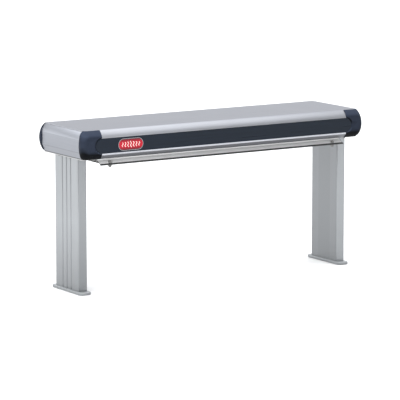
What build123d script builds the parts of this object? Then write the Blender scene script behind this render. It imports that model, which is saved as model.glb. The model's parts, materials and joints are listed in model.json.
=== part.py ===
"""Infrared strip warmer on two fixed legs, for keeping plated food hot on a counter.

Millimetres. The origin is on the counter at the centre of the footprint, +X runs along the
length to the right, the customer side faces -Y and +Z is up. An inset is always measured
inwards from the housing's outermost edge, so one section serves the front, rear and ends.
"""
import os
from math import cos, radians, sin

from build123d import *

os.makedirs("parts", exist_ok=True)

# ---- driving dimensions -------------------------------------------------------------
LENGTH = 914.4            # 36 in housing, end to end
DEPTH = 250.0             # corner cap to corner cap
TOP_Z = 452.5             # top of the housing
UNDERSIDE_Z = 374.5       # bottom of the housing
LIP_Z = 358.0             # centre of the reflector's hemmed lip, 14 in above the counter

HALF_LENGTH = LENGTH / 2
HALF_DEPTH = DEPTH / 2

# housing extrusion
WALL = 2.0
SHOULDER_INSET = 15.0     # where the flat top turns down
STRIP_Z = 410.5           # middle of the dark trim strip
STRIP_HEIGHT = 41.0
STRIP_RECESS = 1.5        # strip face behind the outermost edge
STRIP_THICK = 2.5
STRIP_CENTRES = 397.0     # centres of the strip's round ends
NOSE_INSET = 0.5
LIP_BEVEL = 1.0           # sloped upper edge of the lip below the strip
TOE_INSET = 13.0          # where the lower slope meets the underside
COVER_END_X = HALF_LENGTH - 10.0
COVER_CORNER = 12.5       # plan radius of the flat top's corners
RAIL_END_X = 398.5        # end of the front and rear rails, where the caps start

# corner caps
CAP_START_X = 399.0
CAP_END_Y = 103.0
CAP_REACH = 459.0         # the caps bulge a little beyond the end panels
CAP_WALL = 3.0
CAP_FLANGE = 18.5         # inset of the inner edge of the cap's flanges

# end panels, base plates and bulkheads
PANEL = 1.6
PANEL_HALF_WIDTH = 102.7
SHEET = 2.0
BASE_OUTER_X = 448.0
BASE_HALF_WIDTH = 104.0
BASE_TOP = UNDERSIDE_Z
BASE_BOTTOM = UNDERSIDE_Z - SHEET
DECK_Z = TOP_Z - WALL     # underside of the flat top

# reflector and heating element
REFLECTOR_SHEET = 1.2
REFLECTOR_HALF = 397.0
MOUTH_Y = 92.0            # straight walls of the trough
SKIRT_TOP_Z = 369.0
LIP_Y = 113.3
CROWN_Z = 438.0           # top of the trough
HEM_RADIUS = 1.6
ELEMENT_Z = 405.0
ELEMENT_RADIUS = 5.5

# wire guard below the trough, hung on four screws through the skirts
GUARD_X = 364.2
GUARD_Y = 105.5
BAR_TOP = 355.9
BAR_THICK = 2.0
GUARD_ROD = 3.0
CROSS_WIRE = 2.5
GUARD_SCREW = 2.5         # radius of the M5 screws that hold the guard
GUARD_HEAD = 4.3          # radius of their pan heads and wedge washers
GUARD_HEAD_HEIGHT = 2.6
GUARD_NUT = 8.0           # across flats
GUARD_NUT_HEIGHT = 4.0

# legs and feet
LEG_X = 425.4             # centre of each leg
LEG_THICK = 27.0
LEG_WIDTH = 126.0
LEG_PORT_Y = 38.0         # screw ports inside the extrusion
GROOVE_PITCH = 22.5
GROOVE_RADIUS = 3.9       # round grooves, 7 mm wide at the face
GROOVE_DEPTH = 2.2
FOOT_LENGTH = 165.0
FOOT_WIDTH = 37.0
FOOT_CORNER = 13.0
PAD_INSET = 5.0           # rim of the foot plate round its rubber pad
FOOT_TOP = 8.0
FOOT_LIFT = 1.0           # the rubber pad stands this far below the foot plate
PAD_THICK = 2.0

# rocker switch and cord gland, under the right-hand end on the operator side
SWITCH_X, SWITCH_Y = 409.5, 80.0
PIVOT_Z = 376.5
ROCK_ANGLE = 12.0         # tilt of the rocker each side of centre
GLAND_X, GLAND_Y = 434.0, 82.0
GLAND_BORE = 4.5

# electrical compartment
PIN_END_X = 421.0
BLOCK_Y = -60.0
RETURN_LEAD_Z = 443.0
WIRE = 1.3                # radius of an insulated lead

ENDS = (("left", -1), ("right", 1))
SIDES = (("front", -1), ("rear", 1))


def save(builder, name):
    """Label a finished piece and write it as its own STEP file."""
    builder.part.label = name
    export_step(builder.part, f"parts/{name}.step")


def hexagon(across_flats):
    """Regular hexagon by its size across flats, in the current sketch."""
    RegularPolygon(radius=across_flats / 2, side_count=6, major_radius=False)


# ---- housing ------------------------------------------------------------------------
def rail_half_section():
    """Half of the housing extrusion: flat top, shoulder, strip channel, lip and toe."""
    nose = HALF_DEPTH - NOSE_INSET
    channel = HALF_DEPTH - STRIP_RECESS - STRIP_THICK
    strip_top = STRIP_Z + STRIP_HEIGHT / 2
    strip_bottom = STRIP_Z - STRIP_HEIGHT / 2
    shoulder = HALF_DEPTH - SHOULDER_INSET
    toe = HALF_DEPTH - TOE_INSET
    lip_bottom = strip_bottom - 4.0
    return_edge = 100.0
    with BuildLine() as outline:
        Line((0, TOP_Z), (shoulder, TOP_Z))
        ThreePointArc((shoulder, TOP_Z), (nose - 5.2, TOP_Z - 9.0), (nose, strip_top + 0.3))
        Polyline(
            (nose, strip_top + 0.3),
            (channel, strip_top + 0.3),
            (channel, strip_bottom),
            (nose - LIP_BEVEL, strip_bottom),
            (nose, strip_bottom - 2 * LIP_BEVEL),
            (nose, lip_bottom),
            (toe, UNDERSIDE_Z),
            (return_edge, UNDERSIDE_Z),
            (return_edge, UNDERSIDE_Z + WALL),
            (toe - 0.8, UNDERSIDE_Z + WALL),
            (channel - WALL, lip_bottom - 2.5),
            (channel - WALL, strip_top + 2.5),
        )
        ThreePointArc(
            (channel - WALL, strip_top + 2.5),
            (channel - WALL - 2.6, TOP_Z - 10.5),
            (shoulder - 1.0, DECK_Z),
        )
        Polyline((shoulder - 1.0, DECK_Z), (0, DECK_Z), (0, TOP_Z))
    return outline


with BuildPart() as housing_cover:
    with BuildSketch(Plane.YZ.offset(-COVER_END_X)):
        make_face(rail_half_section().edges())
        mirror(about=Plane.YZ)
    extrude(amount=2 * COVER_END_X)
    # past the rails only the flat top runs on, between the corner caps
    for x_dir in (-1, 1):
        with BuildSketch(Plane.YZ.offset(x_dir * RAIL_END_X)):
            with Locations((0, UNDERSIDE_Z / 2)):
                Rectangle(2 * DEPTH, 2 * DECK_Z - UNDERSIDE_Z)
            with Locations((-DEPTH, TOP_Z), (DEPTH, TOP_Z)):
                Rectangle(DEPTH + 2 * SHOULDER_INSET, DEPTH)
        extrude(amount=x_dir * LENGTH, mode=Mode.SUBTRACT)
    top_corners = housing_cover.edges().filter_by(Axis.Z).filter_by(
        lambda edge: abs(edge.center().X) > COVER_END_X - 1
    )
    fillet(top_corners, radius=COVER_CORNER)
save(housing_cover, "housing_cover")


# outline of a corner cap at rising heights: the height, how far its end face and its front
# face stand in from their furthest reach, and the plan radius of the corner between them
CAP_LEVELS = (
    (UNDERSIDE_Z, 11.0, 11.0, 17.5),
    (377.5, 7.7, 7.8, 18.0),
    (381.0, 5.2, 5.1, 18.5),
    (386.0, 3.5, 2.4, 18.0),
    (392.0, 2.0, 0.6, 17.0),
    (400.0, 0.7, 0.0, 15.3),
    (413.0, 0.0, 0.0, 14.0),
    (424.0, 0.7, 0.0, 15.5),
    (431.0, 1.7, 0.5, 17.2),
    (437.0, 2.6, 1.6, 19.2),
    (442.4, 3.6, 4.2, 21.0),
    (446.5, 5.2, 7.2, 21.0),
    (449.5, 7.5, 10.2, 19.0),
    (TOP_Z, 11.0, 14.3, 14.0),
)
CAP_BACK_Y = 88.0         # the blank runs on past the cap's end and is cut back
CAP_SCREW = (410.0, 98.5)


def cap_outline(z, end_inset, front_inset, radius, wall=0.0):
    """Plan of the front right cap at one height, drawn in by the thickness of a wall."""
    x = CAP_REACH - end_inset - wall
    y = HALF_DEPTH - front_inset - wall
    start = CAP_START_X - wall
    corner = radius - wall
    with BuildSketch(Plane.XY.offset(z)) as level:
        with BuildLine():
            Polyline((x, corner - y), (x, -CAP_BACK_Y), (start, -CAP_BACK_Y), (start, -y), (x - corner, -y))
            CenterArc((x - corner, corner - y), corner, 270, 90)
        make_face()
    return level.sketch


# the front right cap; the other three are its mirror images
with BuildPart() as cap_master:
    loft([cap_outline(*level) for level in CAP_LEVELS])
    with BuildPart(mode=Mode.PRIVATE) as cavity:
        loft([cap_outline(*level, wall=CAP_WALL) for level in CAP_LEVELS])
        hollow_top = DECK_Z - 0.3 - CAP_WALL
        with Locations((HALF_LENGTH, 0, (hollow_top + UNDERSIDE_Z + CAP_WALL) / 2)):
            Box(LENGTH, LENGTH, hollow_top - UNDERSIDE_Z - CAP_WALL, mode=Mode.INTERSECT)
    add(cavity.part, mode=Mode.SUBTRACT)
    # the flat top lies in a rebate, and the flanges stop short of the middle
    rebate = cap_outline(DECK_Z - 0.3, 11.4, 14.7, 12.8)
    extrude(rebate, amount=10, mode=Mode.SUBTRACT)
    flange_x = HALF_LENGTH - CAP_FLANGE
    flange_y = HALF_DEPTH - CAP_FLANGE
    with Locations((flange_x - 30, 50 - flange_y, TOP_Z / 2)):
        Box(60, 100, 2 * TOP_Z, mode=Mode.SUBTRACT)
    with Locations((HALF_LENGTH, 50 - CAP_END_Y, TOP_Z / 2)):
        Box(LENGTH, 100, 2 * TOP_Z, mode=Mode.SUBTRACT)
    # notch for the round end of the trim strip, with a broad bevel round it
    with BuildSketch(Plane.XZ.offset(HALF_DEPTH - CAP_WALL - 1)):
        with Locations((STRIP_CENTRES, STRIP_Z)):
            Circle(STRIP_HEIGHT / 2 + 0.3)
    extrude(amount=CAP_WALL + 2, mode=Mode.SUBTRACT)
    bevel_from, bevel_to, bevel_slope = -2.4, 0.6, 1.25
    bevel_middle = HALF_DEPTH + (bevel_from + bevel_to) / 2
    with Locations(Plane.XZ.offset(bevel_middle) * Location((STRIP_CENTRES, STRIP_Z))):
        Cone(
            bottom_radius=STRIP_HEIGHT / 2 + 0.3,
            top_radius=STRIP_HEIGHT / 2 + 0.3 + bevel_slope * (bevel_to - bevel_from),
            height=bevel_to - bevel_from,
            mode=Mode.SUBTRACT,
        )
    # boss for the screw that comes up through the base plate
    with BuildSketch(Plane.XY.offset(UNDERSIDE_Z)):
        with Locations((CAP_SCREW[0], -CAP_SCREW[1] - 2.2)):
            RectangleRounded(12, 16.5, 2)
    extrude(amount=12)
    with Locations(Location((CAP_SCREW[0], -CAP_SCREW[1], UNDERSIDE_Z + 5))):
        Cylinder(radius=2.0, height=10, mode=Mode.SUBTRACT)

for end, x_dir in ENDS:
    for side, y_dir in SIDES:
        with BuildPart() as corner_cap:
            add(cap_master.part)
            if x_dir < 0:
                mirror(about=Plane.YZ, mode=Mode.REPLACE)
            if y_dir > 0:
                mirror(about=Plane.XZ, mode=Mode.REPLACE)
        save(corner_cap, f"corner_cap_{side}_{end}")

for side, y_dir in SIDES:
    with BuildPart() as trim_strip:
        with BuildSketch(Plane.XZ.offset(-y_dir * (HALF_DEPTH - STRIP_RECESS))):
            with Locations((0, STRIP_Z)):
                SlotCenterToCenter(2 * STRIP_CENTRES, STRIP_HEIGHT - 0.2)
        extrude(amount=y_dir * STRIP_THICK)
    save(trim_strip, f"trim_strip_{side}")

# blank nameplate on the front strip: a bright rim with a coloured inlay
BADGE_X = -309.5
BADGE_SIZE = (78.0, 33.0)
BADGE_RIM = 1.6
BADGE_BASE = HALF_DEPTH - STRIP_RECESS
with BuildPart() as badge_rim:
    with BuildSketch(Plane.XZ.offset(BADGE_BASE)):
        with Locations((BADGE_X, STRIP_Z - 0.5)):
            RectangleRounded(*BADGE_SIZE, BADGE_SIZE[1] / 2 - 0.5)
    extrude(amount=1.3)
    with BuildSketch(Plane.XZ.offset(BADGE_BASE + 0.5)):
        with Locations((BADGE_X, STRIP_Z - 0.5)):
            RectangleRounded(
                BADGE_SIZE[0] - 2 * BADGE_RIM,
                BADGE_SIZE[1] - 2 * BADGE_RIM,
                BADGE_SIZE[1] / 2 - 0.5 - BADGE_RIM,
            )
    extrude(amount=2, mode=Mode.SUBTRACT)
save(badge_rim, "badge_rim")

with BuildPart() as badge_inlay:
    with BuildSketch(Plane.XZ.offset(BADGE_BASE + 0.5)):
        with Locations((BADGE_X, STRIP_Z - 0.5)):
            RectangleRounded(
                BADGE_SIZE[0] - 2 * BADGE_RIM - 0.2,
                BADGE_SIZE[1] - 2 * BADGE_RIM - 0.2,
                BADGE_SIZE[1] / 2 - 0.6 - BADGE_RIM,
            )
    extrude(amount=0.7)
save(badge_inlay, "badge_inlay")

# ---- ends ---------------------------------------------------------------------------
LEG_BOLT_Y = LEG_PORT_Y
PANEL_SCREW = (443.0, 30.0)
WEB_X = 398.5
WEB_FLANGE_X = 420.0
STUD = (410.0, 40.0)
BUSHING_HOLE = 9.0


def mirrored_to(x_dir):
    """Turn the right-hand piece under construction into the left-hand one when asked."""
    if x_dir < 0:
        mirror(about=Plane.YZ, mode=Mode.REPLACE)


for end, x_dir in ENDS:
    with BuildPart() as end_panel:
        with BuildSketch(Plane.XZ.offset(-PANEL_HALF_WIDTH)):
            with BuildLine():
                Line((WEB_FLANGE_X + 2.2, DECK_Z - 0.2), (COVER_END_X, DECK_Z - 0.2))
                ThreePointArc(
                    (COVER_END_X, DECK_Z - 0.2),
                    (HALF_LENGTH - 3.8, 442.0),
                    (HALF_LENGTH - 1.0, 429.0),
                )
                Polyline(
                    (HALF_LENGTH - 1.0, 429.0),
                    (HALF_LENGTH - 1.0, 394.0),
                    (HALF_LENGTH - 8.7, UNDERSIDE_Z + 0.2),
                    (439.0, UNDERSIDE_Z + 0.2),
                )
                offset(amount=PANEL, side=Side.RIGHT)
            make_face()
        extrude(amount=2 * PANEL_HALF_WIDTH)
        # the bottom tab keeps to the middle, clear of the gland and the caps
        for y_dir in (-1, 1):
            with Locations((440.0, y_dir * 77.5, UNDERSIDE_Z + 0.9)):
                Box(16, 55, 1.9, mode=Mode.SUBTRACT)
        with Locations(*[(PANEL_SCREW[0], y, UNDERSIDE_Z + 1) for y in (-PANEL_SCREW[1], PANEL_SCREW[1])]):
            Cylinder(radius=2.1, height=6, mode=Mode.SUBTRACT)
        mirrored_to(x_dir)
    save(end_panel, f"end_panel_{end}")

    with BuildPart() as base_plate:
        with BuildSketch(Plane.XY.offset(BASE_BOTTOM)):
            with Locations(((RAIL_END_X + BASE_OUTER_X) / 2, 0)):
                Rectangle(BASE_OUTER_X - RAIL_END_X, 2 * BASE_HALF_WIDTH)
            for y_dir in (-1, 1):
                with Locations((LEG_X, y_dir * LEG_BOLT_Y)):
                    Circle(3.3, mode=Mode.SUBTRACT)
                with Locations((CAP_SCREW[0], y_dir * CAP_SCREW[1])):
                    Circle(2.2, mode=Mode.SUBTRACT)
                with Locations((PANEL_SCREW[0], y_dir * PANEL_SCREW[1])):
                    Circle(2.1, mode=Mode.SUBTRACT)
            with Locations((STUD[0], -80)):
                Circle(2.6, mode=Mode.SUBTRACT)
            if end == "right":
                with Locations((SWITCH_X, SWITCH_Y)):
                    Rectangle(14, 21, mode=Mode.SUBTRACT)
                with Locations((GLAND_X, GLAND_Y)):
                    Circle(8.1, mode=Mode.SUBTRACT)
        extrude(amount=SHEET)
        mirrored_to(x_dir)
    save(base_plate, f"base_plate_{end}")

    with BuildPart() as bulkhead:
        with BuildSketch(Plane.XZ.offset(-BASE_HALF_WIDTH + 2)):
            with BuildLine():
                Polyline(
                    (WEB_FLANGE_X, DECK_Z),
                    (WEB_X, DECK_Z),
                    (WEB_X, BASE_TOP),
                    (WEB_X + 9, BASE_TOP),
                )
                offset(amount=SHEET, side=Side.LEFT)
            make_face()
        extrude(amount=2 * BASE_HALF_WIDTH - 4)
        # the foot tab is cut back to its middle, where the switch and boss are not
        for y_dir in (-1, 1):
            with Locations((WEB_X + SHEET + 5, y_dir * 82, BASE_TOP + SHEET / 2)):
                Box(10, 44, SHEET + 0.02, mode=Mode.SUBTRACT)
        with Locations(Plane.YZ.offset(WEB_X) * Location((0, ELEMENT_Z))):
            Cylinder(radius=BUSHING_HOLE, height=3 * SHEET, mode=Mode.SUBTRACT)
        with Locations(Plane.YZ.offset(WEB_X) * Location((-70, RETURN_LEAD_Z))):
            Cylinder(radius=3.5, height=3 * SHEET, mode=Mode.SUBTRACT)
        with Locations(*[(STUD[0], y, DECK_Z) for y in (-STUD[1], STUD[1])]):
            Cylinder(radius=2.7, height=3 * SHEET, mode=Mode.SUBTRACT)
        mirrored_to(x_dir)
    save(bulkhead, f"bulkhead_{end}")

# studs welded under the flat top hold the bulkheads
STUD_SPOTS = [(x * STUD[0], y * STUD[1]) for x in (-1, 1) for y in (-1, 1)]
with BuildPart() as cover_studs:
    with Locations(*[(x, y, DECK_Z - 6.5) for x, y in STUD_SPOTS]):
        Cylinder(radius=2.5, height=13)
save(cover_studs, "cover_studs")

with BuildPart() as stud_nuts:
    with BuildSketch(Plane.XY.offset(DECK_Z - SHEET)):
        with Locations(*STUD_SPOTS):
            hexagon(8.0)
            Circle(2.55, mode=Mode.SUBTRACT)
    extrude(amount=-4)
save(stud_nuts, "stud_nuts")

# ---- reflector ----------------------------------------------------------------------
SKIRT_SLOPE = (SKIRT_TOP_Z - LIP_Z) / (LIP_Y - MOUTH_Y)


def skirt_z(y):
    """Height of the skirt's upper face at a distance y from the centre plane."""
    return SKIRT_TOP_Z - SKIRT_SLOPE * (y - MOUTH_Y)


TROUGH = [(30, CROWN_Z), (74, 404), (MOUTH_Y, 386), (MOUTH_Y, SKIRT_TOP_Z), (LIP_Y, LIP_Z)]
GUARD_SPOTS = [(x * GUARD_X, y * GUARD_Y) for x in (-1, 1) for y in (-1, 1)]

with BuildPart() as reflector:
    with BuildSketch(Plane.YZ.offset(-REFLECTOR_HALF)):
        with BuildLine():
            Polyline([(-y, z) for y, z in reversed(TROUGH)] + TROUGH)
            offset(amount=REFLECTOR_SHEET, side=Side.RIGHT)
        make_face()
        with Locations((-LIP_Y + 1, LIP_Z - 0.4), (LIP_Y - 1, LIP_Z - 0.4)):
            Circle(HEM_RADIUS)
    extrude(amount=2 * REFLECTOR_HALF)
    with Locations(*[(x, y, 361) for x, y in GUARD_SPOTS]):
        Cylinder(radius=GUARD_SCREW + 0.3, height=12, mode=Mode.SUBTRACT)
save(reflector, "reflector")

END_WALL_X = 395.3
END_WALL = 1.2
for end, x_dir in ENDS:
    with BuildPart() as reflector_end:
        with BuildSketch(Plane.YZ.offset(END_WALL_X)):
            inner = [(29.2, CROWN_Z - 1.4), (72.8, 403.0), (90.5, 385.4), (90.5, SKIRT_TOP_Z)]
            with BuildLine():
                Polyline([(-y, z) for y, z in reversed(inner)] + inner, close=True)
            make_face()
            with Locations((0, ELEMENT_Z)):
                Circle(BUSHING_HOLE, mode=Mode.SUBTRACT)
        extrude(amount=END_WALL)
        mirrored_to(x_dir)
    save(reflector_end, f"reflector_end_{end}")

# hat channels hang the trough from the flat top, riveted below and welded above
HANGER_SPOTS = (-250.0, 0.0, 250.0)
HANGER_LENGTH = 50.0
HANGER_SHEET = 1.2
with BuildPart() as reflector_hangers:
    for spot in HANGER_SPOTS:
        with BuildSketch(Plane.XZ.offset(-HANGER_LENGTH / 2)):
            with BuildLine():
                Polyline(
                    (spot - 29, DECK_Z),
                    (spot - 15, DECK_Z),
                    (spot - 15, CROWN_Z + HANGER_SHEET),
                    (spot + 15, CROWN_Z + HANGER_SHEET),
                    (spot + 15, DECK_Z),
                    (spot + 29, DECK_Z),
                )
                offset(amount=HANGER_SHEET, side=Side.RIGHT)
            make_face()
        extrude(amount=HANGER_LENGTH)
save(reflector_hangers, "reflector_hangers")

# ---- heating element ----------------------------------------------------------------
ALONG_X = Plane.YZ * Location((0, ELEMENT_Z))
SHEATH_HALF = 404.5


def rod_along_x(radius, start, end, mode=Mode.ADD):
    """A straight rod on the element's axis between two X positions."""
    middle = (start + end) / 2
    with Locations(ALONG_X * Location((0, 0, middle))):
        Cylinder(radius=radius, height=abs(end - start), mode=mode)


with BuildPart() as heating_element:
    rod_along_x(ELEMENT_RADIUS, -SHEATH_HALF, SHEATH_HALF)
save(heating_element, "heating_element")

with BuildPart() as element_bushings:
    for x_dir in (-1, 1):
        rod_along_x(BUSHING_HOLE - 0.2, x_dir * 393.5, x_dir * 403.8)
        rod_along_x(12.0, x_dir * 400.7, x_dir * 403.8)
    rod_along_x(ELEMENT_RADIUS + 0.1, -HALF_LENGTH, HALF_LENGTH, mode=Mode.SUBTRACT)
save(element_bushings, "element_bushings")

with BuildPart() as element_terminals:
    for x_dir in (-1, 1):
        rod_along_x(2.0, x_dir * SHEATH_HALF, x_dir * PIN_END_X)
save(element_terminals, "element_terminals")

RING_X = 412.8
RING_THICK = 0.8
with BuildPart() as terminal_nuts:
    for x_dir in (-1, 1):
        for start in (RING_X - 3.2, RING_X + RING_THICK):
            with BuildSketch(Plane.YZ.offset(x_dir * start)):
                with Locations((0, ELEMENT_Z)):
                    hexagon(7.0)
                    Circle(2.05, mode=Mode.SUBTRACT)
            extrude(amount=x_dir * 3.2)
save(terminal_nuts, "terminal_nuts")

SUPPORT_SPOTS = (-198.0, 0.0, 198.0)
SUPPORT_WIDTH = 10.0
with BuildPart() as element_supports:
    crown_inside = CROWN_Z - REFLECTOR_SHEET
    for spot in SUPPORT_SPOTS:
        with BuildSketch(Plane.YZ.offset(spot - SUPPORT_WIDTH / 2)):
            with Locations((0, ELEMENT_Z)):
                Circle(ELEMENT_RADIUS + 1.4)
            with Locations((0, (crown_inside + ELEMENT_Z) / 2)):
                Rectangle(1.4, crown_inside - ELEMENT_Z)
            with Locations((0, crown_inside - 0.7)):
                Rectangle(18, 1.4)
            with Locations((0, ELEMENT_Z)):
                Circle(ELEMENT_RADIUS + 0.1, mode=Mode.SUBTRACT)
        extrude(amount=SUPPORT_WIDTH)
save(element_supports, "element_supports")

# ---- wire guard ---------------------------------------------------------------------
ROD_SPOTS = (-60.0, -20.0, 20.0, 60.0)
CROSS_SPOTS = (-300.0, -180.0, -60.0, 60.0, 180.0, 300.0)
ROD_Z = BAR_TOP + GUARD_ROD / 2
CROSS_Z = BAR_TOP + GUARD_ROD + CROSS_WIRE / 2

with BuildPart() as guard_bars:
    with BuildSketch(Plane.XY.offset(BAR_TOP)):
        for x_dir in (-1, 1):
            with Locations((x_dir * GUARD_X, 0)):
                SlotOverall(2 * GUARD_Y + 11, 12, rotation=90)
        with Locations(*GUARD_SPOTS):
            Circle(GUARD_SCREW + 0.2, mode=Mode.SUBTRACT)
    extrude(amount=-BAR_THICK)
save(guard_bars, "guard_bars")

with BuildPart() as guard_rods:
    with Locations(*[Plane.YZ * Location((y, ROD_Z)) for y in ROD_SPOTS]):
        Cylinder(radius=GUARD_ROD / 2, height=2 * GUARD_X + 16)
save(guard_rods, "guard_rods")

with BuildPart() as guard_cross_wires:
    with Locations(*[Plane.XZ * Location((x, CROSS_Z)) for x in CROSS_SPOTS]):
        Cylinder(radius=CROSS_WIRE / 2, height=2 * ROD_SPOTS[-1] + 16)
save(guard_cross_wires, "guard_cross_wires")

# each screw stands upright, so wedge washers above and below square up the sloping skirt
HEAD_SEAT = skirt_z(GUARD_Y - GUARD_HEAD) + 0.1
SKIRT_DROP = REFLECTOR_SHEET * (1 + SKIRT_SLOPE**2) ** 0.5


def skirt_plane(y_dir, below):
    """The skirt's face as a plane facing up and outwards, lowered by `below`."""
    return Plane(
        origin=(0, y_dir * GUARD_Y, skirt_z(GUARD_Y) - below),
        x_dir=(1, 0, 0),
        z_dir=(0, y_dir * SKIRT_SLOPE, 1),
    )


def wedge(x, y_dir, low, high, keep, below):
    """A drilled washer between two heights, cut by the sloping skirt."""
    with BuildPart(mode=Mode.PRIVATE) as blank:
        with Locations((x, y_dir * GUARD_Y, (low + high) / 2)):
            Cylinder(radius=GUARD_HEAD, height=high - low)
            Cylinder(radius=GUARD_SCREW + 0.1, height=high - low, mode=Mode.SUBTRACT)
        split(bisect_by=skirt_plane(y_dir, below), keep=keep)
    return blank.part


WEDGE_SPOTS = [(x * GUARD_X, y) for x in (-1, 1) for y in (-1, 1)]
upper_wedges = [wedge(x, y, 355, HEAD_SEAT, Keep.TOP, -0.02) for x, y in WEDGE_SPOTS]
lower_wedges = [wedge(x, y, BAR_TOP, 370, Keep.BOTTOM, SKIRT_DROP + 0.02) for x, y in WEDGE_SPOTS]
with BuildPart() as guard_wedges:
    for piece in upper_wedges + lower_wedges:
        add(piece)
save(guard_wedges, "guard_wedges")

BAR_BOTTOM = BAR_TOP - BAR_THICK
HEAD_TOP = HEAD_SEAT + GUARD_HEAD_HEIGHT
CROSS_SLOT = 4.4
with BuildPart() as guard_screws:
    with BuildSketch(Plane.XY.offset(HEAD_SEAT)):
        with Locations(*GUARD_SPOTS):
            Circle(GUARD_HEAD)
    extrude(amount=GUARD_HEAD_HEIGHT)
    crown = guard_screws.faces().sort_by(Axis.Z)[-4:]
    fillet(crown.edges(), radius=1.5)
    with BuildSketch(Plane.XY.offset(HEAD_TOP)):
        with Locations(*GUARD_SPOTS):
            Rectangle(CROSS_SLOT, 0.9, rotation=35)
            Rectangle(0.9, CROSS_SLOT, rotation=35)
    extrude(amount=-1.3, mode=Mode.SUBTRACT)
    with BuildSketch(Plane.XY.offset(HEAD_SEAT)):
        with Locations(*GUARD_SPOTS):
            Circle(GUARD_SCREW)
    extrude(amount=BAR_BOTTOM - GUARD_NUT_HEIGHT - 1.0 - HEAD_SEAT)
save(guard_screws, "guard_screws")

with BuildPart() as guard_nuts:
    with BuildSketch(Plane.XY.offset(BAR_BOTTOM)):
        with Locations(*GUARD_SPOTS):
            hexagon(GUARD_NUT)
            Circle(GUARD_SCREW + 0.05, mode=Mode.SUBTRACT)
    extrude(amount=-GUARD_NUT_HEIGHT)
save(guard_nuts, "guard_nuts")

# ---- legs and feet ------------------------------------------------------------------
LEG_CORNER = 2.5
LEG_WALL = 2.5
PORT_RADIUS = 3.05
PORT_WEB = 11.0


def foot_inset(inset):
    """Outline of a foot, moved inwards by an inset, in the current sketch."""
    RectangleRounded(FOOT_WIDTH - 2 * inset, FOOT_LENGTH - 2 * inset, FOOT_CORNER - inset)


for end, x_dir in ENDS:
    with BuildPart() as leg:
        with BuildSketch(Plane.XY.offset(FOOT_TOP)):
            with Locations((LEG_X, 0)):
                RectangleRounded(LEG_THICK, LEG_WIDTH, LEG_CORNER)
            # three shallow grooves run down the outer face
            groove_x = LEG_X + LEG_THICK / 2 + GROOVE_RADIUS - GROOVE_DEPTH
            with Locations(*[(groove_x, n * GROOVE_PITCH) for n in (-1, 0, 1)]):
                Circle(GROOVE_RADIUS, mode=Mode.SUBTRACT)
            cell_depth = LEG_THICK - 2 * LEG_WALL - 1.5
            cell_x = LEG_X - 0.75
            inner_width = 2 * LEG_PORT_Y - PORT_WEB
            outer_cell = LEG_WIDTH / 2 - LEG_WALL - LEG_PORT_Y - PORT_WEB / 2
            with Locations((cell_x, 0)):
                RectangleRounded(cell_depth, inner_width, 2, mode=Mode.SUBTRACT)
            for y_dir in (-1, 1):
                middle = y_dir * (LEG_WIDTH / 2 - LEG_WALL - outer_cell / 2)
                with Locations((cell_x, middle)):
                    RectangleRounded(cell_depth, outer_cell, 2, mode=Mode.SUBTRACT)
                with Locations((LEG_X, y_dir * LEG_PORT_Y)):
                    Circle(PORT_RADIUS, mode=Mode.SUBTRACT)
        extrude(amount=BASE_BOTTOM - FOOT_TOP)
        mirrored_to(x_dir)
    save(leg, f"leg_{end}")

    with BuildPart() as foot_plate:
        with BuildSketch(Plane.XY.offset(FOOT_LIFT)):
            with Locations((LEG_X, 0)):
                foot_inset(0)
        extrude(amount=FOOT_TOP - FOOT_LIFT)
        fillet(foot_plate.faces().sort_by(Axis.Z)[-1].edges(), radius=2.5)
        fillet(foot_plate.faces().sort_by(Axis.Z)[0].edges(), radius=0.8)
        with BuildSketch(Plane.XY.offset(FOOT_LIFT)):
            with Locations((LEG_X, 0)):
                foot_inset(PAD_INSET)
        extrude(amount=PAD_THICK - FOOT_LIFT, mode=Mode.SUBTRACT)
        for y_dir in (-1, 1):
            with Locations(Location((LEG_X, y_dir * LEG_PORT_Y, PAD_THICK), (180, 0, 0))):
                CounterSinkHole(radius=3.1, counter_sink_radius=6.2, depth=FOOT_TOP)
        mirrored_to(x_dir)
    save(foot_plate, f"foot_plate_{end}")

    with BuildPart() as foot_pad:
        with BuildSketch():
            with Locations((LEG_X, 0)):
                foot_inset(PAD_INSET + 0.2)
            for y_dir in (-1, 1):
                with Locations((LEG_X, y_dir * LEG_PORT_Y)):
                    Circle(7, mode=Mode.SUBTRACT)
        extrude(amount=PAD_THICK)
        mirrored_to(x_dir)
    save(foot_pad, f"foot_pad_{end}")

PORT_SPOTS = [(x * LEG_X, y * LEG_PORT_Y) for x in (-1, 1) for y in (-1, 1)]
with BuildPart() as foot_screws:
    for x, y in PORT_SPOTS:
        with BuildSketch(Plane.XZ.offset(-y)):
            with BuildLine():
                Polyline(
                    (x, PAD_THICK + 0.2),
                    (x + 5.9, PAD_THICK + 0.2),
                    (x + 2.95, PAD_THICK + 3.2),
                    (x + 2.95, FOOT_TOP + 20),
                    (x, FOOT_TOP + 21.5),
                    close=True,
                )
            make_face()
        revolve(axis=Axis((x, y, 0), (0, 0, 1)))
save(foot_screws, "foot_screws")

with BuildPart() as leg_bolts:
    with BuildSketch(Plane.XY.offset(BASE_TOP)):
        with Locations(*PORT_SPOTS):
            hexagon(10.0)
    extrude(amount=4)
    with BuildSketch(Plane.XY.offset(BASE_TOP)):
        with Locations(*PORT_SPOTS):
            Circle(2.95)
    extrude(amount=-24)
save(leg_bolts, "leg_bolts")


def pan_screws(spots, length, radius):
    """Pan-head screws driven up into the base plates from below."""
    head = 2.4
    for x, y in spots:
        with Locations((x, y, BASE_BOTTOM - head / 2)):
            Cylinder(radius=2 * radius, height=head)
        with Locations((x, y, BASE_BOTTOM + length / 2)):
            Cylinder(radius=radius, height=length)
        with Locations((x, y, BASE_BOTTOM - head)):
            Box(2.4 * radius, 0.9, head, mode=Mode.SUBTRACT)
            Box(0.9, 2.4 * radius, head, mode=Mode.SUBTRACT)


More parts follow.
